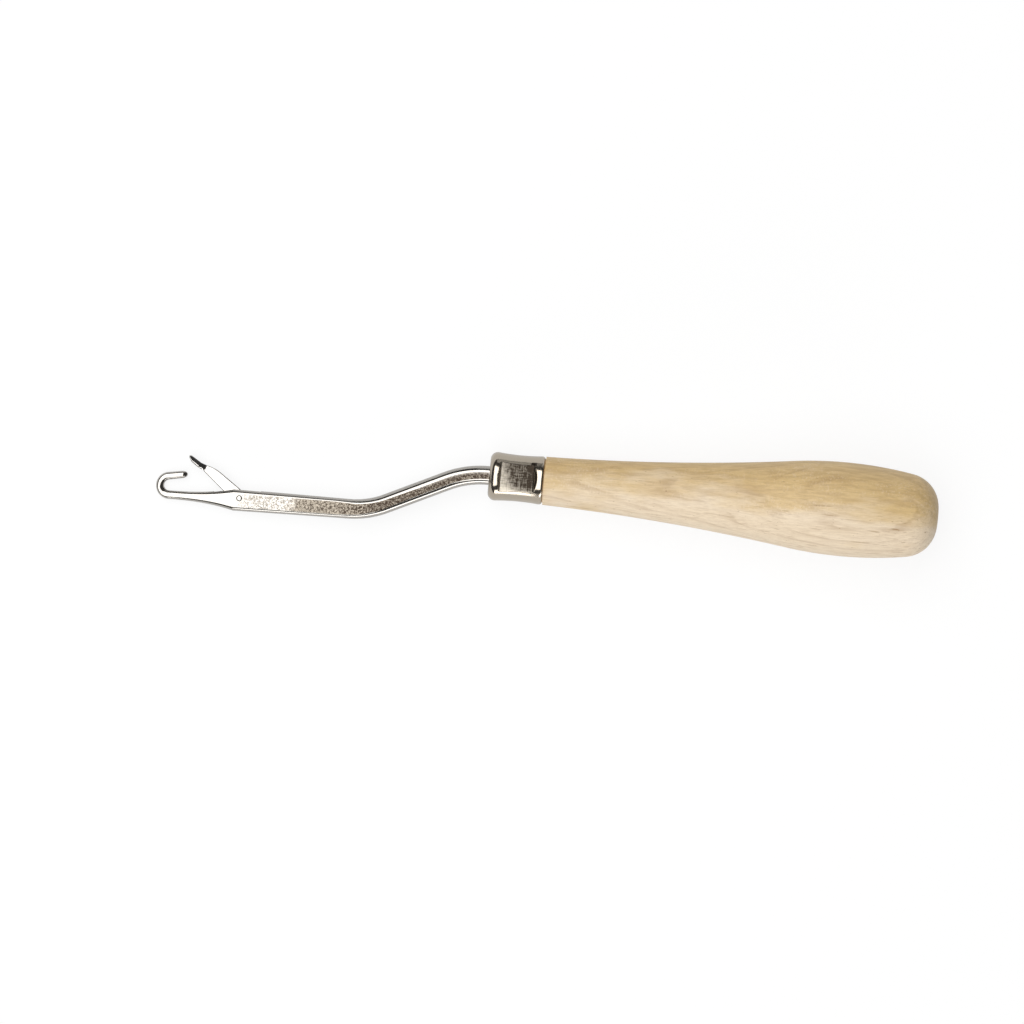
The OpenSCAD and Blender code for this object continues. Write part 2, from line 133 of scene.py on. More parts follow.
class ShankSettings(bpy.types.PropertyGroup):
    tang_width: size(3.9, "Tang", "Diameter of the tang in the handle")
    tang_length: size(32, "Tang length", "Length of the tang behind the joint")
    tang_point: size(2.5, "Tang point", "Length of the tang's pointed end")
    tang_tip: size(1.3, "Tang tip", "Diameter of the tang's blunt tip")
    width: size(4, "Width", "Width of the shank in the plane of the hook")
    thickness: size(3.5, "Thickness", "Thickness between the shank's flats")
    flat: size(1.1, "Flat", "Width of the flat band along the shank")
    lead: size(0.1, "Lead", "Straight length ahead of the ferrule")
    bend_1: angle(25.85, "First bend", "Angle of the first bend")
    bend_1_radius: size(20, "First bend radius", "Radius of the first bend")
    slope: size(13.6, "Slope", "Straight length between the bends")
    bend_2: angle(24.9, "Second bend", "Angle of the second bend")
    bend_2_radius: size(18.5, "Second bend radius", "Radius of the second bend")
    ease: size(3, "Ease", "Length over which the section changes")
    blade_length: size(38.1, "Blade", "Length between the second bend and the hook")
    blade_root: size(4.16, "Blade root", "Width of the blade behind the second bend")
    blade_width: size(4.6, "Blade width", "Width of the blade before its taper")
    blade_thickness: size(2.6, "Blade thickness", "Thickness of the blade")
    blade_flat: size(2.3, "Blade flat", "Width of the flat band along the blade")
    taper_length: size(13.7, "Taper", "Length of the taper down to the wire")
    wire_width: size(1.8, "Wire", "Width of the wire at the hook")
    wire_thickness: size(1.9, "Wire thickness", "Thickness of the wire at the hook")
    wire_flat: size(0.3, "Wire flat", "Width of the flat band along the wire")
    bulge: size(0.28, "Bulge", "Height that the wire heaps up inside the hook")
    hook_radius: size(2, "Hook", "Radius of the hook to the middle of the wire")
    lip_angle: angle(10.5, "Lip angle", "Angle between the lip and the handle")
    lip_length: size(4.05, "Lip", "Straight length of the lip to its tip")
    lip_width: size(1.48, "Lip width", "Width of the wire at the lip")
    lip_thickness: size(1.5, "Lip thickness", "Thickness of the wire at the lip")
    nose_length: size(1.15, "Nose", "Length of the rounded point")
    slot_width: size(1.1, "Slot", "Width of the latch's slot")
    slot_radius: size(5.6, "Slot radius", "Radius of the saw that cuts the slot")
    slot_below: size(1.6, "Slot depth", "Depth of the slot below the pin")
    slot_ahead: size(0.75, "Slot ahead", "Place of the slot ahead of the pin")
    dimple_width: size(1.25, "Dimple", "Diameter of the dimple round the pin")
    dimple_depth: size(0.2, "Dimple depth", "Depth of the dimple")
    plate: colour(184, 180, 174, "Steel", "bright plated steel")
    # The pebble dark colour is partly a painted dark reflection on the flats
    pebble_dark_reflection: colour(62, 52, 44, "Pebble dark", "hollows in the pebbled flats")
    pebble_pale: colour(190, 180, 164, "Pebble pale", "tops in the pebbled flats")


class LatchSettings(bpy.types.PropertyGroup):
    pin_width: size(1, "Pin", "Diameter of the pin")
    pin_proud: size(0.06, "Pin height", "Height of its heads above the blade")
    pin_bevel: size(0.12, "Pin bevel", "Bevel round the pin's heads")
    eye_width: size(1.1, "Eye", "Diameter of the latch's hole")
    eye_radius: size(1.4, "Eye radius", "Radius of the latch round its hole")
    eye_up: size(0.12, "Eye height", "Height of the eye's middle above the pin")
    thickness: size(0.9, "Thickness", "Thickness of the latch")
    edge: size(0.2, "Edge", "Width of the rounded edge round the latch")
    body_length: size(9.75, "Body", "Length from the pin to the spoon")
    body_back: size(1.6, "Back", "Height of the back above the pin")
    root_back: size(0.88, "Root back", "Height of the back where the spoon starts")
    root_belly: size(0.46, "Root belly", "Depth of the belly where the spoon starts")
    back_radius: size(8, "Back curve", "Radius of the curve down the back")
    length: size(13.85, "Length", "Length from the pin to the spoon's tip")
    spoon_width: size(2.5, "Spoon", "Width of the spoon")
    spoon_high: size(0.54, "Spoon back", "Height of the spoon's back above the pin")
    spoon_low: size(0.6, "Spoon rim", "Depth of the spoon's rim below the pin")
    spoon_wall: size(0.2, "Spoon wall", "Thickness of the spoon's sides")
    spoon_shell: size(0.18, "Spoon shell", "Thickness of the spoon's back")
    rest_angle: angle(34.7, "Rest angle", "Angle between the resting latch and the handle")
    plate: colour(187, 184, 180, "Latch steel", "plated latch")


class StageSettings(bpy.types.PropertyGroup):
    table: colour(250, 250, 250, "Table", "table")
    camera_height: size(1500, "Camera", "Distance of the camera above the tool")


def settings():
    return bpy.context.scene.latch_hook


def unit(turn):
    return Vector((math.cos(turn), math.sin(turn)))


def bearing(start, end):
    return math.atan2(end.y - start.y, end.x - start.x)


def arc(centre, radius, start, end, steps):
    return [centre + radius * unit(start + (end - start) * i / steps) for i in range(steps + 1)]


def smooth(t):
    return 0 if t <= 0 else 1 if t >= 1 else (1 - math.cos(math.pi * t)) / 2


def between(value, start, end):
    return (value - start) / (end - start)


def spread(start, end, steps):
    return [start + (end - start) * i / steps for i in range(steps)]


def dome(place, start, end):
    """Height, as a share, of a rounded end that begins at start and closes at end."""
    return math.sqrt(max(0, 1 - max(0, between(place, start, end)) ** 2))


def dome_places(start, length):
    """Places along a rounded end, closer together towards its tip."""
    return [start + length * math.sin(math.radians(9 * i)) for i in range(10)]


def lookup(place, table):
    """Straight-line value between the table's (place, value) pairs."""
    for (a, low), (b, high) in zip(table, table[1:]):
        if place < b:
            return low + (high - low) * max(0, between(place, a, b))
    return table[-1][1]


def deselect_all():
    for thing in list(bpy.context.selected_objects):
        thing.select_set(False)


def make_active(piece):
    deselect_all()
    piece.select_set(True)
    bpy.context.view_layer.objects.active = piece


def edit_mode():
    bpy.ops.object.mode_set(mode="EDIT")


def object_mode():
    bpy.ops.object.mode_set(mode="OBJECT")


def trace(points):
    """Draws a line through the points, one extruded vertex after another, and stays in edit mode."""
    deselect_all()
    bpy.ops.mesh.primitive_plane_add(size=MM)
    edit_mode()
    bpy.ops.mesh.merge(type="CENTER")
    bpy.ops.transform.translate(value=points[0])
    for a, b in zip(points, points[1:]):
        bpy.ops.mesh.extrude_vertices_move(TRANSFORM_OT_translate={"value": b - a})
    return bpy.context.object


def close_mesh(piece, weld=False):
    """Leaves edit mode with the faces turned outwards, and first welds what meets."""
    bpy.ops.mesh.select_all(action="SELECT")
    if weld:
        bpy.ops.mesh.remove_doubles(threshold=MM / 1000)
    bpy.ops.mesh.normals_make_consistent(inside=False)
    object_mode()
    return piece


def turn(profile, steps):
    """Turns a profile of (distance along X, radius) points round the X axis into a closed solid."""
    piece = trace([Vector((p.x, 0, p.y)) for p in profile])
    bpy.ops.mesh.select_all(action="SELECT")
    bpy.ops.mesh.spin(steps=steps, angle=FULL_TURN, center=(0, 0, 0), axis=(1, 0, 0))
    return close_mesh(piece, weld=True)


def plate_of(outline, depth, axis):
    """Fills a closed outline and extrudes it to both sides of its plane."""
    piece = trace(outline)
    bpy.ops.mesh.select_all(action="SELECT")
    bpy.ops.mesh.edge_face_add()
    bpy.ops.transform.translate(value=-depth / 2 * axis)
    bpy.ops.mesh.extrude_region_move(TRANSFORM_OT_translate={"value": depth * axis})
    return close_mesh(piece)


def apply_modifier(piece, kind, **values):
    make_active(piece)
    modifier = piece.modifiers.new(kind.title(), kind)
    for name, value in values.items():
        setattr(modifier, name, value)
    bpy.ops.object.modifier_apply(modifier=modifier.name)


def combine(piece, tool, operation):
    """Cuts the tool out of the piece or adds it, and then deletes the tool."""
    apply_modifier(piece, "BOOLEAN", object=tool, operation=operation, solver="EXACT")
    bpy.data.objects.remove(tool)


def finish_piece(piece, name, node, material, turned=Matrix(), body="tool"):
    """Puts a finished mesh in the row frame, with its object left at the origin."""
    make_active(piece)
    piece.matrix_world = tool_placing() @ turned
    bpy.ops.object.transform_apply(location=True, rotation=True, scale=True)
    piece.name = name
    piece.data.name = name
    piece.data.materials.clear()
    piece.data.materials.append(material)
    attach(piece, body)
    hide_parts(node)
    deselect_all()


def tool_placing():
    """The tool's own frame in the row frame, from the two pressed flats and the hinge's axis."""
    ferrule = settings().ferrule
    flats = [Vector(MOUNTS[name]["pos_m"]) for name in ("ferrule_flat_upper", "ferrule_flat_lower")]
    middle = (flats[0] + flats[1]) / 2
    origin = middle + (ferrule.flat_at + ferrule.flat_length / 2) * TOOL_BACK
    axes = Matrix((TOOL_BACK, Vector((0, 1, 0)), TOOL_UP)).transposed()
    return Matrix.Translation(origin) @ axes.to_4x4()


def pin_place():
    """The middle of the pin in the tool's own frame."""
    return tool_placing().inverted() @ Vector(HINGE["pos_m"])


# Ferrule and tenon share one form: a shoulder arc tangent to a long hollow arc

def hollow_centre(f):
    return Vector((-f.waist_at, f.waist_width / 2 + f.waist_radius))


def shoulder_centre(f):
    x = f.shoulder_radius - f.length
    drop = math.sqrt((f.waist_radius + f.shoulder_radius) ** 2 - (x + f.waist_at) ** 2)
    return Vector((x, hollow_centre(f).y - drop))


def ferrule_radius(f, x):
    return hollow_centre(f).y - math.sqrt(f.waist_radius ** 2 - (x + f.waist_at) ** 2)


def ferrule_side(f, inset, rear):
    """Profile of the ferrule's skin taken in by inset, from its front face to rear."""
    hollow = hollow_centre(f)
    shoulder = shoulder_centre(f)
    turn_at = bearing(shoulder, hollow)
    last = math.asin((rear + f.waist_at) / (f.waist_radius + inset)) - math.pi / 2
    return (arc(shoulder, f.shoulder_radius - inset, math.pi, turn_at, 12)
            + arc(hollow, f.waist_radius + inset, turn_at - math.pi, last, 28)[1:])


# Points along a flat's end, and how far an inset form's flat runs on for each part of its inset
FLAT_STEPS = 10
FLAT_RUN = 0.6


def press_flats(piece, f, inset):
    """Cuts both pressed flats into a form that is taken in by inset."""
    floor = f.across_flats / 2 - inset
    rise = f.waist_width / 2 + MM - floor
    run = FLAT_RUN * inset
    rear, front = run - f.flat_at, -run - f.flat_at - f.flat_length
    shares = [i / FLAT_STEPS for i in range(FLAT_STEPS + 1)]
    step = [(share, floor + smooth(share) * rise) for share in shares]
    section = ([Vector((rear + f.rear_step * x, z)) for x, z in step]
               + [Vector((front - f.front_step * x, z)) for x, z in reversed(step)])
    for side in (1, -1):
        outline = [Vector((p.x, 0, side * p.y)) for p in section]
        combine(piece, plate_of(outline, 2 * f.waist_width, Vector((0, 1, 0))), "DIFFERENCE")


def handle_profile(h, joint_radius):
    """The wood's side: neck, crown, butt edge and dome, each arc tangent to the next."""
    crown = Vector((h.length - h.bulb_back, h.bulb_width / 2 - h.crown_radius))
    start = Vector((0, joint_radius))
    neck_way = unit(math.pi / 2 + h.neck_slope)
    neck_from = start - crown
    neck_radius = ((neck_from.length_squared - h.crown_radius ** 2) / 2
                   / (h.crown_radius - neck_way.dot(neck_from)))
    neck = start + neck_radius * neck_way
    crown_start = bearing(crown, neck)
    dome = Vector((h.length - h.dome_radius, 0))
    reach_a = h.crown_radius - h.edge_radius
    reach_b = h.dome_radius - h.edge_radius
    gap = (dome - crown).length
    edge_turn = (bearing(crown, dome)
                 - math.acos((reach_a ** 2 - reach_b ** 2 + gap ** 2) / 2 / gap / reach_a))
    edge = crown + reach_a * unit(edge_turn)
    dome_turn = bearing(dome, edge)
    return (arc(neck, neck_radius, h.neck_slope - math.pi / 2, crown_start - math.pi, 24)
            + arc(crown, h.crown_radius, crown_start, edge_turn, 28)[1:]
            + arc(edge, h.edge_radius, edge_turn, dome_turn, 18)[1:]
            + arc(dome, h.dome_radius, dome_turn, 0, 8)[1:])


class MiddleLine:
    """The shank's middle line: straights and bends, each with a length and a turn."""

    def __init__(self, s, ferrule):
        blade_turn = s.bend_1 - s.bend_2
        hook_turn = math.pi + blade_turn - s.lip_angle
        self.runs = [
            (s.tang_length + ferrule.length + s.lead, 0),
            (s.bend_1_radius * s.bend_1, s.bend_1),
            (s.slope, 0),
            (s.bend_2_radius * s.bend_2, -s.bend_2),
            (s.blade_length, 0),
            (s.hook_radius * hook_turn, -hook_turn),
            (s.lip_length, 0),
        ]
        self.marks = [0]
        for length, _ in self.runs:
            self.marks.append(self.marks[-1] + length)
        self.start = Vector((s.tang_length, 0))

    def points(self):
        """Points along the line, close enough together in the bends to be true arcs."""
        at, heading = self.start, math.pi
        points = [at]
        for length, turned in self.runs:
            steps = max(1, math.ceil(abs(turned) / math.radians(1)))
            half = turned / steps / 2
            chord = length / steps * (math.sin(half) / half if half else 1)
            for _ in range(steps):
                at = at + chord * unit(heading + half)
                heading += 2 * half
                points.append(at)
        return points


# How steeply the blade's width falls at the start of its taper
TAPER_POWER = 2.45
# The bulge, as a share, at shares of the way round the hook's bend, and how much flat it takes
BULGE = ((0, 0), (0.11, 0.5), (0.25, 1), (0.42, 1), (0.58, 0.4), (0.78, 0))
BULGE_FLAT_LOST = 0.6


class ShankSection:
    """Width, thickness and flat band of the shank at a distance along its middle line."""

    def __init__(self, s, ferrule, line):
        self.s = s
        self.mouth = s.tang_length + ferrule.length - ferrule.sheet
        self.sheet = ferrule.sheet
        self.slope, self.blade, self.hook, lip, self.tip = line.marks[3:]
        self.bend = lip - self.hook
        self.taper_start = self.hook - s.taper_length
        self.nose = self.tip - s.nose_length

    def taper(self, at, blade, wire):
        left = max(0, 1 - between(at, self.taper_start, self.hook))
        return wire + (blade - wire) * left ** TAPER_POWER

    def sizes(self, at):
        """The flat's middle, half the flat, the round side's width, and half the thickness."""
        s, eased = self.s, self.mouth + self.sheet
        if at < self.mouth:
            half = lookup(at, [(0, s.tang_tip / 2), (s.tang_point, s.tang_width / 2)])
            return 0, 0, half, half
        thickness = lookup(at, [
            (self.mouth, s.width), (eased, s.thickness), (self.slope + s.ease, s.thickness),
            (self.blade + s.ease, s.blade_thickness), (self.taper_start, s.blade_thickness),
            (self.hook, s.wire_thickness), (self.tip, s.lip_thickness)])
        if at <= self.taper_start:
            width = lookup(at, [(self.slope, s.width), (self.blade, s.blade_root),
                                (self.taper_start, s.blade_width)])
            flat = lookup(at, [(self.mouth, 0), (eased, s.flat), (self.slope, s.flat),
                               (self.blade + s.ease, s.blade_flat)])
        else:
            width = (self.taper(at, s.blade_width, s.wire_width) if at <= self.hook
                     else lookup(at, [(self.hook, s.wire_width), (self.tip, s.lip_width)]))
            flat = self.taper(at, s.blade_flat, s.wire_flat)
        bulge = lookup(between(at, self.hook, self.hook + self.bend), BULGE)
        flat *= 1 - BULGE_FLAT_LOST * bulge
        left = dome(at, self.nose, self.tip) / 2
        return bulge * s.bulge, left * flat, left * (width - flat), left * thickness

    def stations(self, line):
        """Where the bar's rings are drawn: each part's start, and how many rings it gets."""
        s, marks = self.s, line.marks
        parts = [(self.mouth, 3), (self.mouth + self.sheet, 2), (marks[1], 14), (marks[2], 8),
                 (marks[3], 14), (marks[4], 4), (marks[4] + s.ease, 8), (self.taper_start, 24),
                 (self.hook, 44), (marks[6], 6), (self.nose, 0)]
        rings = [0, s.tang_point, self.mouth - MM / 100]
        for (start, steps), (end, _) in zip(parts, parts[1:]):
            rings += spread(start, end, steps)
        return rings + dome_places(self.nose, s.nose_length)


def select_verts(piece, wanted):
    """Selects just the vertices that are wanted, and gives the set of their indices."""
    mesh = bmesh.from_edit_mesh(piece.data)
    mesh.verts.ensure_lookup_table()
    for v in mesh.verts:
        v.select_set(wanted(v))
    mesh.select_flush_mode()
    bmesh.update_edit_mesh(piece.data)
    return {v.index for v in mesh.verts if v.select}


# Points round the shank, an even number
SHANK_RING = 44


def draw_bar(section, line):
    """Draws the shank out straight, ring after ring, and closes both its ends."""
    stations = section.stations(line)
    middle, flat, wide, high = section.sizes(stations[0])
    deselect_all()
    bpy.ops.mesh.primitive_circle_add(
        vertices=SHANK_RING, radius=wide, fill_type="NGON",
        rotation=(math.pi / 2, math.pi / SHANK_RING, math.pi / 2))
    piece = bpy.context.object
    bpy.ops.object.transform_apply(location=False, rotation=True, scale=False)
    edit_mode()
    bpy.ops.mesh.select_mode(type="VERT")
    bpy.ops.mesh.select_all(action="SELECT")
    for before, at in zip(stations, stations[1:]):
        new_middle, new_flat, new_wide, new_high = section.sizes(at)
        bpy.ops.mesh.extrude_region_move(TRANSFORM_OT_translate={"value": (at - before, 0, 0)})
        ring = select_verts(piece, lambda v: v.select)
        halves = [(side, select_verts(piece, lambda v: (v.index in ring
                                                        and (v.co.y - middle) * side > 0)))
                  for side in (1, -1)]
        for side, half in halves:
            select_verts(piece, lambda v: v.index in half)
            wider = (new_wide - side * new_middle) / (wide - side * middle)
            bpy.ops.transform.resize(value=(1, wider, new_high / high),
                                     center_override=(at, middle + side * flat, 0))
            bpy.ops.transform.translate(
                value=(0, new_middle + side * new_flat - middle - side * flat, 0))
        select_verts(piece, lambda v: v.index in ring)
        middle, flat, wide, high = new_middle, new_flat, new_wide, new_high
    bpy.ops.mesh.extrude_region_move(
        TRANSFORM_OT_translate={"value": (section.tip - stations[-1], 0, 0)})
    bpy.ops.mesh.merge(type="CENTER")
    return close_mesh(piece)


def bend_along(piece, points):
    """Bends a straight piece along a line through the points."""
    trace([p.to_3d() for p in points])
    object_mode()
    bpy.ops.object.convert(target="CURVE")
    guide = bpy.context.object
    apply_modifier(piece, "CURVE", object=guide, deform_axis="POS_X")
    bpy.data.objects.remove(guide)


def round_tool(radius, depth, centre, vertices=64, tip_radius=None):
    """A cylinder, or with a tip's radius a cone, that stands square to the hook's plane."""
    deselect_all()
    bpy.ops.mesh.primitive_cone_add(
        vertices=vertices, radius1=radius if tip_radius is None else tip_radius,
        radius2=radius, depth=depth, location=centre)
    return bpy.context.object


def soften(piece, degrees=35):
    make_active(piece)
    bpy.ops.object.shade_smooth_by_angle(angle=math.radians(degrees))


# How far before the body's end the spoon starts to grow, how far after it the spoon is full,
# and the lengths over which the nose's back and rim, and then its sides, come together
SPOON_LEAD = 0.35 * MM
SPOON_GROWTH = 1.2 * MM
NOSE_ROUND = 0.4 * MM
NOSE_BLUNT = 0.25 * MM
# How far the back falls and the rim rises towards the nose, and the length of that rise
NOSE_FALL = 0.14 * MM
NOSE_RISE = 0.5 * MM
NOSE_RISE_LENGTH = 1.2 * MM
# How far the spoon's root lies inside the body, how far back it starts, and the hollow's start
ROOT_SUNK = 0.04 * MM
ROOT_BACK = 0.9 * MM
HOLLOW_AHEAD = 0.6 * MM


class SpoonForm:
    """Half width, back and rim of the spoon, or of the hollow that leaves its wall and shell."""

    def __init__(self, l, wall=0, shell=0):
        self.l, self.wall, self.shell = l, wall, shell
        self.full = l.body_length + SPOON_GROWTH
        self.end = l.length - wall
        self.round_from = self.end - NOSE_ROUND
        self.narrow = l.thickness / 2 - ROOT_SUNK

    def sizes(self, at):
        l = self.l
        left = dome(at, self.end - NOSE_BLUNT, self.end)
        grown = smooth(between(at, l.body_length - SPOON_LEAD, self.full))
        half = left * (self.narrow + (l.spoon_width / 2 - self.narrow) * grown)
        half *= 1 - self.wall / (l.spoon_width / 2)
        back = lookup(at, [(0, l.root_back - ROOT_SUNK), (l.body_length, l.root_back),
                           (self.full, l.spoon_high), (l.length, l.spoon_high - NOSE_FALL)])
        rim = lookup(at, [(0, ROOT_SUNK - l.root_belly), (l.body_length, ROOT_SUNK - l.root_belly),
                          (self.full, -l.spoon_low), (l.length - NOSE_RISE_LENGTH, -l.spoon_low),
                          (l.length, NOSE_RISE - l.spoon_low)])
        middle = (back + rim) / 2
        nose = dome(at, self.round_from, self.end)
        return half, middle + nose * (back - middle) - self.shell, middle + nose * (rim - middle)

    def rings(self, start):
        """Where the spoon's rings are drawn from its start to its nose."""
        return (spread(start, self.full, 20) + spread(self.full, self.round_from, 6)
                + dome_places(self.round_from, self.end - self.round_from)
                + [self.end - MM / 500])


# Spoon's section as shares of its half width: how far its rolled rim and its back turn
# from the ridge between them, how flat the rim is rolled and how much the back leans in
RIM_TURN = math.radians(37)
BACK_TURN = math.radians(40)
RIM_ROLL = 0.35
BACK_LEAN = 0.36


def spoon_section():
    """Half a section, as (height, half width) from the rim's edge up to the flat back."""
    rim = [(-RIM_ROLL * math.sin(turn), math.cos(turn)) for turn in spread(RIM_TURN, 0, 6)]
    back = [(math.sin(turn), math.cos(turn) * (1 - BACK_LEAN * math.sin(turn)))
            for turn in spread(0, BACK_TURN, 10)]
    return rim + back


def draw_spoon(form, start, drop):
    """Draws a spoon out along X, with its rolled rim dropped, leaning sides and a flat back."""
    half, back, rim = form.sizes(start)
    rim -= drop
    side = spoon_section()
    low, high = side[0][0], side[-1][0]
    outline = side + [(y, -z) for y, z in reversed(side)]
    trace([Vector((start, rim + (y - low) / (high - low) * (back - rim), z * half))
           for y, z in outline])
    piece = bpy.context.object
    bpy.ops.mesh.select_all(action="SELECT")
    bpy.ops.mesh.edge_face_add()
    at = start
    for place in form.rings(start)[1:]:
        new_half, new_back, new_rim = form.sizes(place)
        new_rim -= drop
        bpy.ops.mesh.extrude_region_move(TRANSFORM_OT_translate={"value": (place - at, 0, 0)})
        bpy.ops.transform.resize(
            value=(1, (new_back - new_rim) / (back - rim), new_half / half),
            center_override=(place, rim, 0))
        bpy.ops.transform.translate(value=(0, new_rim - rim, 0))
        at, half, back, rim = place, new_half, new_back, new_rim
    return close_mesh(piece, weld=True)


# How far the latch's flat body stops short of its end, inside the spoon
BODY_SHORT = 0.3 * MM


def latch_outline(l):
    """The latch's flat body: from its eye over a curved back to the spoon and along the belly."""
    back_turn = math.acos(1 - (l.body_back - l.root_back) / l.back_radius)
    back_start = l.body_length - l.back_radius * math.sin(back_turn)
    eye = Vector((0, l.eye_up))
    body_tip = l.body_length - BODY_SHORT
    lowest = -math.pi / 2
    return ([Vector((l.eye_radius, l.body_back))]
            + arc(Vector((back_start, l.body_back - l.back_radius)), l.back_radius,
                  math.pi / 2, math.pi / 2 - back_turn, 14)
            + [Vector((body_tip, -l.root_belly))]
            + list(reversed(arc(eye, l.eye_radius, math.radians(100), math.pi * 2 + lowest, 32))))


# Materials

class Finish:
    """A material whose nodes are wired by short calls."""

    def __init__(self, name):
        self.material = bpy.data.materials.new(name)
        self.material.use_nodes = True
        self.tree = self.material.node_tree
        self.shader = self.tree.nodes["Principled BSDF"]

    def add(self, kind, sockets=None, **values):
        node = self.tree.nodes.new("ShaderNode" + kind)
        for name, value in values.items():
            setattr(node, name, value)
        for name, value in (sockets or {}).items():
            self.feed(node.inputs[name], value)
        return node

    def feed(self, socket, value):
        if isinstance(value, bpy.types.NodeSocket):
            self.tree.links.new(value, socket)
        else:
            socket.default_value = value

    def set(self, **sockets):
        for name, value in sockets.items():
            self.feed(self.shader.inputs[name.replace("_", " ")], value)

    def tool_space(self):
        """Places on the piece in millimetres of the tool's own frame."""
        placing = tool_placing()
        coordinates = self.add("TexCoord")
        mapping = self.add("Mapping", {
            "Vector": coordinates.outputs["Object"],
            "Location": placing.translation, "Rotation": placing.to_euler(),
            "Scale": (MM, MM, MM)}, vector_type="TEXTURE")
        return mapping.outputs["Vector"]

    def scaled(self, vector, scale, location=(0, 0, 0)):
        mapping = self.add("Mapping", {
            "Vector": vector, "Scale": scale, "Location": location})
        return mapping.outputs["Vector"]

    def split(self, vector):
        return self.add("SeparateXYZ", {"Vector": vector}).outputs

    def math(self, operation, *values, kind="Math", output=0):
        node = self.add(kind, operation=operation)
        for socket, value in zip(node.inputs, values):
            self.feed(socket, value)
        return node.outputs[output]

    def vector_math(self, operation, *values, output="Vector"):
        return self.math(operation, *values, kind="VectorMath", output=output)

    def plus(self, value, *others):
        for other in others:
            value = self.math("ADD", value, other)
        return value

    def times(self, a, b):
        return self.math("MULTIPLY", a, b)

    def noise(self, vector, scale, detail=2, roughness=0.5, distortion=0):
        return self.add("TexNoise", {
            "Vector": vector, "Scale": scale, "Detail": detail, "Roughness": roughness,
            "Distortion": distortion}).outputs["Fac"]

    def grain(self, place, scale, detail=2, roughness=0.5, location=(0, 0, 0)):
        """Noise with its own scale along each axis."""
        return self.noise(self.scaled(place, scale, location), 1.0, detail, roughness)

    def band(self, value, start, end, low=0, high=1):
        """Smooth step of a value from low at start to high at end."""
        return self.add("MapRange", {
            "Value": value, "From Min": start, "From Max": end, "To Min": low, "To Max": high},
            interpolation_type="SMOOTHSTEP").outputs["Result"]

    def mix(self, factor, a, b):
        node = self.add("Mix", data_type="RGBA")
        self.feed(node.inputs[0], factor)
        for socket, value in ((node.inputs[6], a), (node.inputs[7], b)):
            self.feed(socket, value if isinstance(value, bpy.types.NodeSocket) else (*value, 1))
        return node.outputs[2]

    def bump(self, height, distance, strength):
        return self.add("Bump", {
            "Height": height, "Distance": distance, "Strength": strength}).outputs["Normal"]

    def facing(self, start, ease, lean=0):
        """Where the surface faces along the hinge's axis, once that is leaned towards -Y."""
        normal = self.add("NewGeometry").outputs["Normal"]
        across, square = (self.vector_math("DOT_PRODUCT", normal, way, output="Value")
                          for way in ((0, 1, 0), TOOL_UP))
        leaned = self.math("SUBTRACT", self.times(self.math("ABSOLUTE", square), math.cos(lean)),
                           self.times(across, math.sin(lean)))
        return self.band(self.math("SUBTRACT", leaned, start), 0, ease)


# The pith's place and its drift along the handle, one ring's radius, the rings' spacing and
# how far they wander, in millimetres
PITH_BELOW = 26.0
PITH_ASIDE = 5.0
PITH_DRIFT = 0.035
RING_RADIUS = 33.98
RING_SPACING = 1.9
RING_WANDER = 3.4


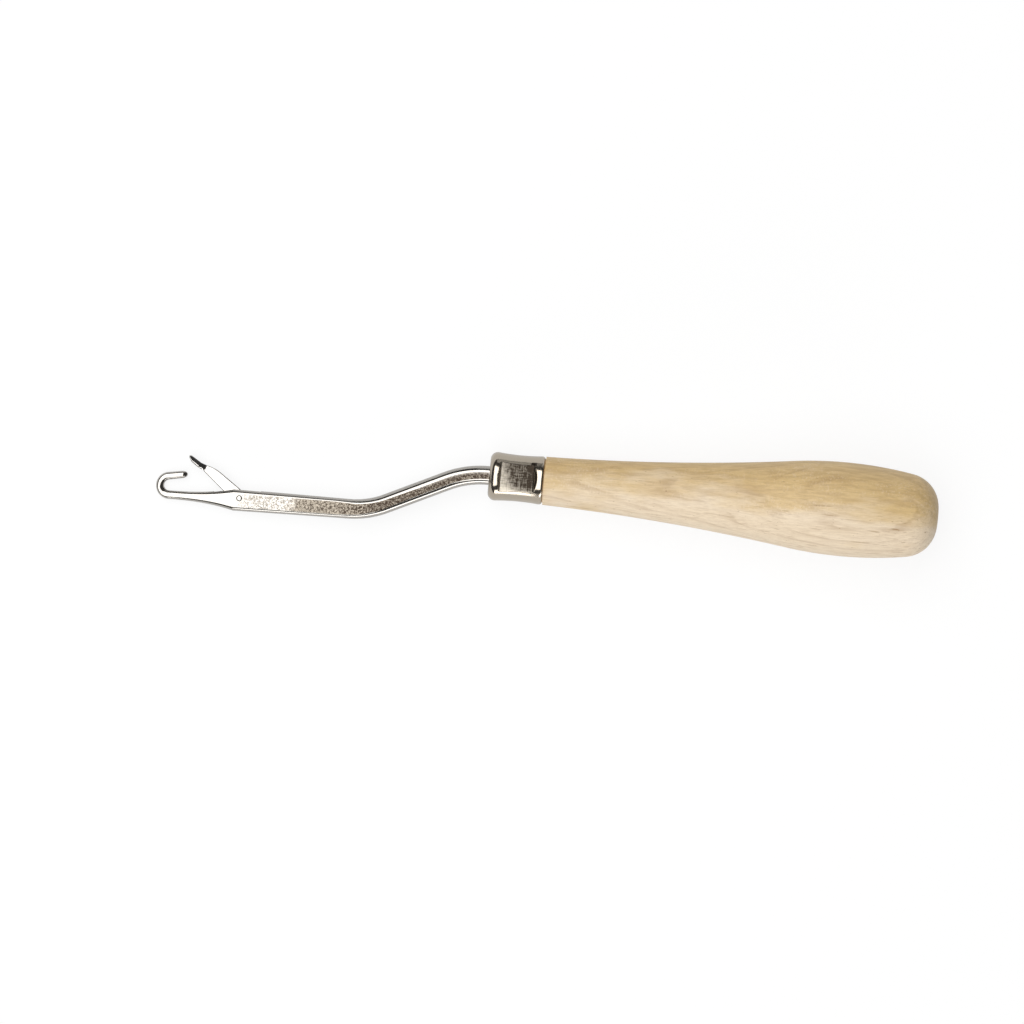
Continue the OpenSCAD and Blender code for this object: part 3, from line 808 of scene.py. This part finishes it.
def wood_finish(h):
    w = Finish("Varnished wood")
    place = w.tool_space()
    x, y, _ = w.split(place)[:3]
    noise = w.add("TexNoise", {"Vector": w.scaled(place, (0.045, 0.16, 0.16)),
                               "Scale": 1.0, "Detail": 3})
    wander = w.vector_math("SUBTRACT", noise.outputs["Color"], (0.5, 0.5, 0.5))
    bent = w.vector_math("MULTIPLY_ADD", wander, (0, RING_WANDER, RING_WANDER), place)
    bent_y, bent_z = w.split(bent)[1:3]

    # Growth rings round a pith that lies outside the handle and drifts along it
    out_y = w.plus(bent_y, PITH_ASIDE)
    out_z = w.plus(bent_z, PITH_BELOW, w.times(x, PITH_DRIFT))
    radius = w.math("SQRT", w.plus(w.times(out_y, out_y), w.times(out_z, out_z)))
    past = w.math("SUBTRACT", radius, RING_RADIUS)
    ring = w.math("FRACT", w.math("DIVIDE", past, RING_SPACING))
    line = w.math("MAXIMUM", w.math("POWER", w.band(ring, 0.6, 0.97), 2.0),
                  w.band(ring, 0.0, 0.08, 1, 0))
    patches = w.band(w.grain(place, (0.09, 0.4, 0.4)), 0.38, 0.68)
    late = w.times(line, w.plus(w.times(patches, 0.28), 0.03))

    # Fine fibres, dark streaks towards the butt, dapples, pores and silvery rays
    fibre = w.grain(place, (0.3, 3.6, 3.6), 3, 0.6)
    hair = w.grain(place, (1.0, 9.0, 9.0))
    streaky = w.band(w.grain(place, (0.09, 2.0, 2.0), 1, location=(5, 0, 0)), 0.63, 0.74)
    streak_place = w.times(w.band(x, 30, 62, 0.35, 1), w.band(y, 4, -2, 0.25, 1))
    streak = w.times(streaky, w.times(streak_place, 0.5))
    dapple = w.times(w.band(y, -3, 4, 0.4, 1.3),
                     w.band(w.grain(place, (0.2, 1.2, 1.2), location=(2, 8, 5)), 0.4, 0.68, 0, 0.2))
    speck = w.times(w.band(w.grain(place, (1.3, 4.5, 4.5), 0), 0.8, 0.84), 0.5)
    silver = w.times(w.band(w.grain(place, (2.6, 1.9, 1.9)), 0.5, 0.7),
                     w.band(w.grain(place, (0.06, 0.2, 0.2), location=(9, 4, 2)),
                            0.4, 0.65, 0.05, 0.3))

    # Warmer and darker at the +Y side, partly the wood's own tone and partly painted shade, warmer
    # at both ends and in broad clouds, and lighter low on the bulb by painted sheen
    cloud = w.grain(place, (0.07, 0.22, 0.22), 3, location=(3, 1, 7))
    along = w.plus(w.band(x, 30, 75, -0.1, 0.35), w.band(x, 24, 6, 0, 0.25))
    warmth_and_shade = w.plus(w.band(y, -7, 7), w.band(cloud, 0.3, 0.7, -0.4, 0.4), along)
    # Painted sheen: lighter low on the bulb, towards its -Y side
    warmth_and_shade = w.math("SUBTRACT", warmth_and_shade, w.times(w.band(x, 18, 34, 0, 0.5), w.band(y, -1, -4)))
    colour = w.mix(warmth_and_shade, h.pale, h.warm)
    for share in (w.band(fibre, 0.35, 0.75, 0, 0.22), w.band(hair, 0.4, 0.75, 0, 0.11), dapple,
                  w.plus(late, streak, speck)):
        colour = w.mix(share, colour, h.late)
    colour = w.mix(silver, colour, h.pale)
    relief = w.plus(w.times(fibre, 0.7), w.times(silver, 0.6))
    w.set(Base_Color=colour, Roughness=w.band(fibre, 0.3, 0.8, 0.45, 0.55),
          Coat_Weight=0.2, Coat_Roughness=0.3, Specular_IOR_Level=0.35,
          Normal=w.bump(relief, 0.04 * MM, 0.5))
    return w.material


def ferrule_finish(f):
    m = Finish("Nickel plate")
    place = m.tool_space()
    x, y, _ = m.split(place)[:3]
    # The brushed panel lies on the flat and a little way up its rear step; its dark tone is a
    # painted dark reflection over the real brushing
    panel = m.times(m.facing(m.band(x, -3.4, -2.8, 0.961, 0.82), 0.012, math.radians(-12)),
                    m.times(m.band(x, -1.7, -1.95), m.band(x, -9.9, -9.6)))
    across = m.grain(place, (3.4, 0.5, 1), 3, 0.7)
    along = m.grain(place, (0.8, 3.2, 1), 3, 0.7, (4, 4, 0))
    weave = m.plus(m.times(across, 0.55), m.times(along, 0.45))
    # Painted light and shade: the panel is lighter towards its front and its lower side, and darker
    # at its rear
    painted_light_and_shade = m.plus(m.band(m.plus(x, m.times(y, 0.4)), -6.0, -9.6, 0, 0.6),
                   m.band(y, -1.4, -2.8, 0, 0.35), m.band(x, -4.6, -3.2, 0, -0.12))
    tone = m.plus(m.band(weave, 0.38, 0.62, -0.17, 0.3), painted_light_and_shade)
    brushed = m.mix(tone, f.brushed_dark_reflection, f.brushed_pale)
    m.set(Metallic=1.0, Base_Color=m.mix(panel, f.plate, brushed),
          Roughness=m.band(panel, 0, 1, 0.14, 0.4),
          Normal=m.bump(m.times(weave, panel), 0.03 * MM, 0.5))
    return m.material


def shank_finish(s):
    m = Finish("Plated steel")
    place = m.tool_space()
    x, y, _ = m.split(place)[:3]
    # The pebbled flat's dark tone, a painted dark reflection over real pebbles, runs a little way
    # round its edges, further on the -Y side
    flat = m.facing(m.band(x, -26, -34, 0.9915, 0.968), 0.0045, math.radians(5))
    ragged = m.times(m.noise(place, 0.9, 2), 4.0)
    edge = m.plus(x, ragged, m.times(y, -0.6))
    # Fully pebbled behind this edge, and only flecked between it and the taper
    pebbled = m.band(edge, -45.6, -43.4)
    grain = m.noise(place, 2.4, 3, 0.7, 0.8)
    flecks = m.times(m.band(grain, 0.52, 0.43, 0, 0.8), m.band(x, -67, -60))
    tone = m.plus(m.band(grain, 0.38, 0.62, -0.2, 0.5), m.band(x, -48, -32, 0.28, -0.05))
    pressed = m.mix(m.plus(tone, m.band(pebbled, 0, 1, 0.3, 0)), s.pebble_dark_reflection, s.pebble_pale)
    pebble_and_dark_reflection_mask = m.times(flat, m.math("MAXIMUM", pebbled, flecks))
    m.set(Metallic=1.0, Base_Color=m.mix(pebble_and_dark_reflection_mask, s.plate, pressed),
          Roughness=m.band(pebble_and_dark_reflection_mask, 0, 1, 0.13, 0.4),
          Normal=m.bump(m.times(grain, m.band(pebble_and_dark_reflection_mask, 0, 1, 0.06, 1)), 0.05 * MM, 0.7))
    return m.material


def latch_finish(l):
    m = Finish("Plated latch")
    place = m.tool_space()
    # A little uneven in polish
    m.set(Metallic=1.0, Base_Color=(*l.plate, 1),
          Roughness=m.band(m.noise(place, 0.6, 3), 0.3, 0.7, 0.12, 0.19),
          Normal=m.bump(m.noise(place, 3.0, 3), 0.01 * MM, 0.4))
    return m.material


# Steps round the turned pieces
HANDLE_STEPS = 128
FERRULE_STEPS = 160
# The ferrule's edges are smoothed on a mesh of this pitch
FERRULE_PITCH = 0.1 * MM


class LATCHHOOK_OT_handle(bpy.types.Operator):
    """Turn the wooden handle with its tenon and bore"""

    bl_idname = "latch_hook.turn_handle"
    bl_label = "Turn Handle"

    def execute(self, context):
        h, f = settings().handle, settings().ferrule
        joint_radius = ferrule_radius(f, -f.seam) - f.rim_proud
        inset = f.sheet + f.tenon_gap
        tenon = ferrule_side(f, inset, 0)
        bore = h.bore_width / 2
        profile = ([Vector((h.bore_depth, 0)), Vector((h.bore_depth, bore)),
                    Vector((tenon[0].x, bore))]
                   + tenon + handle_profile(h, joint_radius))
        piece = turn(profile, HANDLE_STEPS)
        press_flats(piece, f, inset)
        soften(piece)
        finish_piece(piece, "turned_handle", "handle", wood_finish(h))
        return {"FINISHED"}


class LATCHHOOK_OT_ferrule(bpy.types.Operator):
    """Draw the ferrule's cap and press its two flats"""

    bl_idname = "latch_hook.press_ferrule"
    bl_label = "Press Ferrule"

    def execute(self, context):
        f = settings().ferrule
        rim_end = -f.seam - f.rim_radius
        side = ferrule_side(f, 0, rim_end)
        rim = arc(Vector((rim_end, side[-1].y - f.rim_radius)), f.rim_radius, math.radians(80), 0, 6)
        skin = [Vector((-f.length, 0))] + side + rim + [Vector((-f.seam, 0))]
        piece = turn(skin, FERRULE_STEPS)
        press_flats(piece, f, 0)
        inside = ferrule_side(f, f.sheet, MM)
        core = turn([Vector((inside[0].x, 0))] + inside + [Vector((MM, 0))], FERRULE_STEPS)
        press_flats(core, f, f.sheet)
        combine(piece, core, "DIFFERENCE")
        mouth = round_tool(f.mouth_width / 2, f.length, (-f.length, 0, 0))
        mouth.rotation_euler = (0, math.pi / 2, 0)
        combine(piece, mouth, "DIFFERENCE")
        apply_modifier(piece, "REMESH", mode="VOXEL", voxel_size=FERRULE_PITCH,
                       use_smooth_shade=True)
        apply_modifier(piece, "SMOOTH", factor=0.5, iterations=2)
        finish_piece(piece, "pressed_ferrule", "ferrule", ferrule_finish(f))
        return {"FINISHED"}


class LATCHHOOK_OT_shank(bpy.types.Operator):
    """Draw the shank out, bend it into its hook and cut the slot for the latch"""

    bl_idname = "latch_hook.bend_shank"
    bl_label = "Bend Shank"

    def execute(self, context):
        s, l, f = settings().shank, settings().latch, settings().ferrule
        line = MiddleLine(s, f)
        piece = draw_bar(ShankSection(s, f, line), line)
        bend_along(piece, line.points())
        pin = pin_place()
        combine(piece, round_tool(l.pin_width / 2, 2 * s.blade_thickness, pin), "DIFFERENCE")
        for way in (1, -1):
            mouth = pin + Vector((0, 0, way * s.blade_thickness / 2))
            wide = s.dimple_width - l.pin_width / 2
            radii = (wide, l.pin_width / 2) if way > 0 else (l.pin_width / 2, wide)
            combine(piece, round_tool(radii[0], 2 * s.dimple_depth, mouth, tip_radius=radii[1]),
                    "DIFFERENCE")
        saw = pin + Vector((-s.slot_ahead, s.slot_radius - s.slot_below, 0))
        combine(piece, round_tool(s.slot_radius, s.slot_width, saw, 160), "DIFFERENCE")
        soften(piece)
        apply_modifier(piece, "WEIGHTED_NORMAL", keep_sharp=True, weight=50)
        finish_piece(piece, "hook_shank_bar", "hook_shank", shank_finish(s))
        return {"FINISHED"}


class LATCHHOOK_OT_latch(bpy.types.Operator):
    """Stamp the latch and cup its spoon"""

    bl_idname = "latch_hook.make_latch"
    bl_label = "Make Latch"

    def execute(self, context):
        l = settings().latch
        piece = plate_of([p.to_3d() for p in latch_outline(l)], l.thickness, Vector((0, 0, 1)))
        apply_modifier(piece, "BEVEL", width=l.edge, segments=3, limit_method="ANGLE",
                       angle_limit=math.radians(50))
        combine(piece, draw_spoon(SpoonForm(l), l.body_length - ROOT_BACK, 0), "UNION")
        hollow = SpoonForm(l, l.spoon_wall, l.spoon_shell)
        combine(piece, draw_spoon(hollow, l.body_length + HOLLOW_AHEAD, MM), "DIFFERENCE")
        combine(piece, round_tool(l.eye_width / 2, 2 * l.thickness, (0, 0, 0)), "DIFFERENCE")
        soften(piece, 40)
        along = unit(math.pi - l.rest_angle).to_3d()
        back = Vector((along.y, -along.x, 0))
        turned = Matrix((along, back, along.cross(back))).transposed().to_4x4()
        finish_piece(piece, "stamped_latch", "latch", latch_finish(l),
                     Matrix.Translation(pin_place()) @ turned, "latch")
        return {"FINISHED"}


class LATCHHOOK_OT_pin(bpy.types.Operator):
    """Rivet the latch's pin"""

    bl_idname = "latch_hook.rivet_pin"
    bl_label = "Rivet Pin"

    def execute(self, context):
        s, l = settings().shank, settings().latch
        piece = round_tool(l.pin_width / 2, s.blade_thickness + 2 * l.pin_proud, (0, 0, 0))
        edit_mode()
        bpy.ops.mesh.select_mode(type="FACE")
        bpy.ops.mesh.select_all(action="DESELECT")
        mesh = bmesh.from_edit_mesh(piece.data)
        for face in mesh.faces:
            face.select_set(abs(face.normal.z) > 0.9)
        bmesh.update_edit_mesh(piece.data)
        bpy.ops.mesh.bevel(offset=l.pin_bevel, segments=4)
        object_mode()
        soften(piece, 50)
        finish_piece(piece, "riveted_pin", "latch_pin", latch_finish(l),
                     Matrix.Translation(pin_place()))
        return {"FINISHED"}


# The photograph's frame: the joint's place in it, its turn and its scale
FRAME_PIXELS = 1024
JOINT_PIXEL = Vector((544.26, 480.78))
HANDLE_TURN = math.radians(5.44)
PIXEL_SIZE = 0.2110 * MM

# The table's width in metres, its glow and its paleness as the metal sees them, and how much
# more glow and how much less paleness the camera sees
TABLE_WIDTH = 6
TABLE_GLOW = 0.18
CAMERA_GLOW = 0.67
TABLE_PALE = 0.6
CAMERA_PALE = 0.45
STUDIO_GREY = (0.055, 0.055, 0.055)

# Each lamp's name, its turns from straight above in degrees, distance, width, depth, brightness
LAMPS = (
    ("rear_lamp", (-28.5, -20, 0), 1.9, 1.7, 1.35, 2.75),
    ("top_lamp", (18, -20, 0), 1.9, 1.7, 2.0, 2.65),
    ("front_lamp", (79, 0, 19), 1.6, 1.5, 0.55, 3.3),
    ("wall_lamp", (-78, 0, -8), 1.8, 1.0, 0.6, 0.4),
)


class LATCHHOOK_OT_stage(bpy.types.Operator):
    """Set the table, lamps and camera"""

    bl_idname = "latch_hook.set_stage"
    bl_label = "Set Stage"

    def execute(self, context):
        self.make_table()
        self.hang_lamps()
        self.set_camera(context)
        context.scene.view_settings.view_transform = "Standard"
        return {"FINISHED"}

    def make_table(self):
        deselect_all()
        bpy.ops.mesh.primitive_plane_add(size=TABLE_WIDTH)
        table = bpy.context.object
        table.name = "table"
        t = Finish("Pale table")
        path = t.add("LightPath")
        camera = path.outputs["Is Camera Ray"]
        seen = t.math("MAXIMUM", t.math("MAXIMUM", camera, path.outputs["Is Glossy Ray"]),
                      path.outputs["Is Transmission Ray"])
        # The camera sees a white table with a faint shadow, and the metal a deeper one
        strength = t.plus(TABLE_GLOW, t.times(camera, CAMERA_GLOW))
        glow = t.add("Emission", {"Strength": strength})
        paleness = t.math("SUBTRACT", TABLE_PALE, t.times(camera, CAMERA_PALE))
        lit = t.add("BsdfDiffuse", {"Color": paleness})
        both = t.add("AddShader", {0: glow.outputs[0], 1: lit.outputs[0]})
        plain = t.add("BsdfDiffuse", {"Color": (*settings().stage.table, 1)})
        mixed = t.add("MixShader", {0: seen, 1: plain.outputs[0], 2: both.outputs[0]})
        output = t.tree.nodes["Material Output"]
        t.tree.links.new(mixed.outputs[0], output.inputs["Surface"])
        table.data.materials.append(t.material)

    def hang_lamps(self):
        """Soft boxes in an arch across the tool, in a dark studio."""
        world = bpy.data.worlds.new("Studio")
        bpy.context.scene.world = world
        world.use_nodes = True
        back = world.node_tree.nodes["Background"]
        back.inputs["Color"].default_value = (*STUDIO_GREY, 1)
        back.inputs["Strength"].default_value = 1
        for name, turns, distance, wide, deep, brightness in LAMPS:
            turned = Euler([math.radians(turn) for turn in turns])
            way = turned.to_matrix() @ Vector((0, 0, distance))
            bpy.ops.object.light_add(type="AREA", location=way, rotation=turned)
            lamp = bpy.context.object
            lamp.name = name
            lamp.data.shape = "RECTANGLE"
            lamp.data.size, lamp.data.size_y = wide, deep
            lamp.data.energy = brightness * math.pi * wide * deep

    def set_camera(self, context):
        height = settings().stage.camera_height
        away = (Vector((FRAME_PIXELS / 2, FRAME_PIXELS / 2)) - JOINT_PIXEL) * PIXEL_SIZE
        right = unit(HANDLE_TURN).to_3d()
        up = Vector((-right.y, right.x, 0))
        aim = away.x * right - away.y * up
        tool = tool_placing()
        axes = Matrix((right, up, Vector((0, 0, 1)))).transposed().to_4x4()
        bpy.ops.object.camera_add()
        camera = bpy.context.object
        camera.matrix_world = tool @ Matrix.Translation(aim + Vector((0, 0, height))) @ axes
        camera.data.lens = camera.data.sensor_width * height / (FRAME_PIXELS * PIXEL_SIZE)
        camera.data.clip_end = 10
        context.scene.camera = camera
        deselect_all()


class LatchHookSettings(bpy.types.PropertyGroup):
    handle: PointerProperty(type=HandleSettings, name="Handle", description="The turned wood")
    ferrule: PointerProperty(type=FerruleSettings, name="Ferrule", description="The pressed cap")
    shank: PointerProperty(type=ShankSettings, name="Shank", description="The bent hook shank")
    latch: PointerProperty(type=LatchSettings, name="Latch", description="The latch and its pin")
    stage: PointerProperty(type=StageSettings, name="Stage", description="Table and camera")


class LATCHHOOK_PT_panel(bpy.types.Panel):
    bl_label = "Latch Hook Tool"
    bl_idname = "LATCHHOOK_PT_panel"
    bl_space_type = "VIEW_3D"
    bl_region_type = "UI"
    bl_category = "Latch Hook"

    def draw(self, context):
        for operator in OPERATORS:
            self.layout.operator(operator.bl_idname)


OPERATORS = (LATCHHOOK_OT_handle, LATCHHOOK_OT_ferrule, LATCHHOOK_OT_shank, LATCHHOOK_OT_latch,
             LATCHHOOK_OT_pin, LATCHHOOK_OT_stage)
CLASSES = (HandleSettings, FerruleSettings, ShankSettings, LatchSettings, StageSettings,
           LatchHookSettings, *OPERATORS, LATCHHOOK_PT_panel)


def register():
    for kind in CLASSES:
        bpy.utils.register_class(kind)
    bpy.types.Scene.latch_hook = PointerProperty(type=LatchHookSettings)


def unregister():
    del bpy.types.Scene.latch_hook
    for kind in reversed(CLASSES):
        bpy.utils.unregister_class(kind)


def main():
    register()
    deselect_all()
    bpy.ops.latch_hook.turn_handle()
    bpy.ops.latch_hook.press_ferrule()
    bpy.ops.latch_hook.bend_shank()
    bpy.ops.latch_hook.make_latch()
    bpy.ops.latch_hook.rivet_pin()
    bpy.ops.latch_hook.set_stage()


if __name__ == "__main__":
    main()
